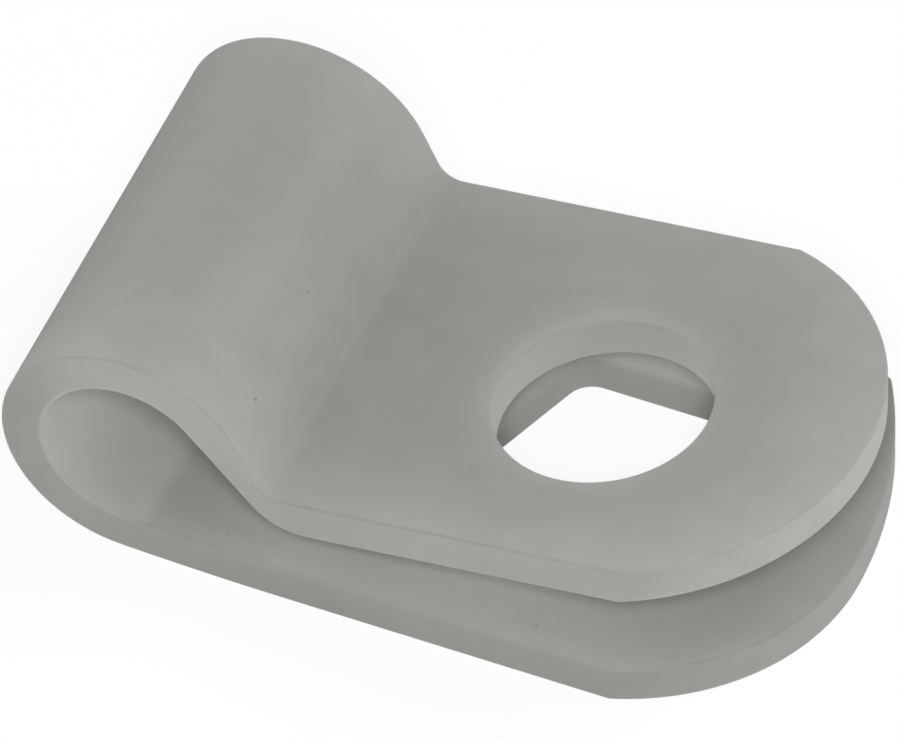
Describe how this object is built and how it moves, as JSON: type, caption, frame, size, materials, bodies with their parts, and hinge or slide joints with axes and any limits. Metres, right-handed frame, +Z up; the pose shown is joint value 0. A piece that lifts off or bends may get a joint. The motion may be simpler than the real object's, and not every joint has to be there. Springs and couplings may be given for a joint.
{
  "type": "p clip",
  "caption": "Moulded nylon P clip: a strip bent round a cable bore into sprung-open screw legs, a round hole above a six-sided one.",
  "frame": {"origin": "middle of the footprint, on the base plane that the lower leg lies on", "axes": "+X from the cable loop towards the tips of the legs, +Y along the cable bore, +Z up from the base plane"},
  "size_m": [0.0168, 0.0094, 0.0055],
  "materials": {
    "natural_nylon": "satin, milky translucent"
  },
  "bodies": {
    "root": {"clip": "natural_nylon"}
  },
  "joints": []
}
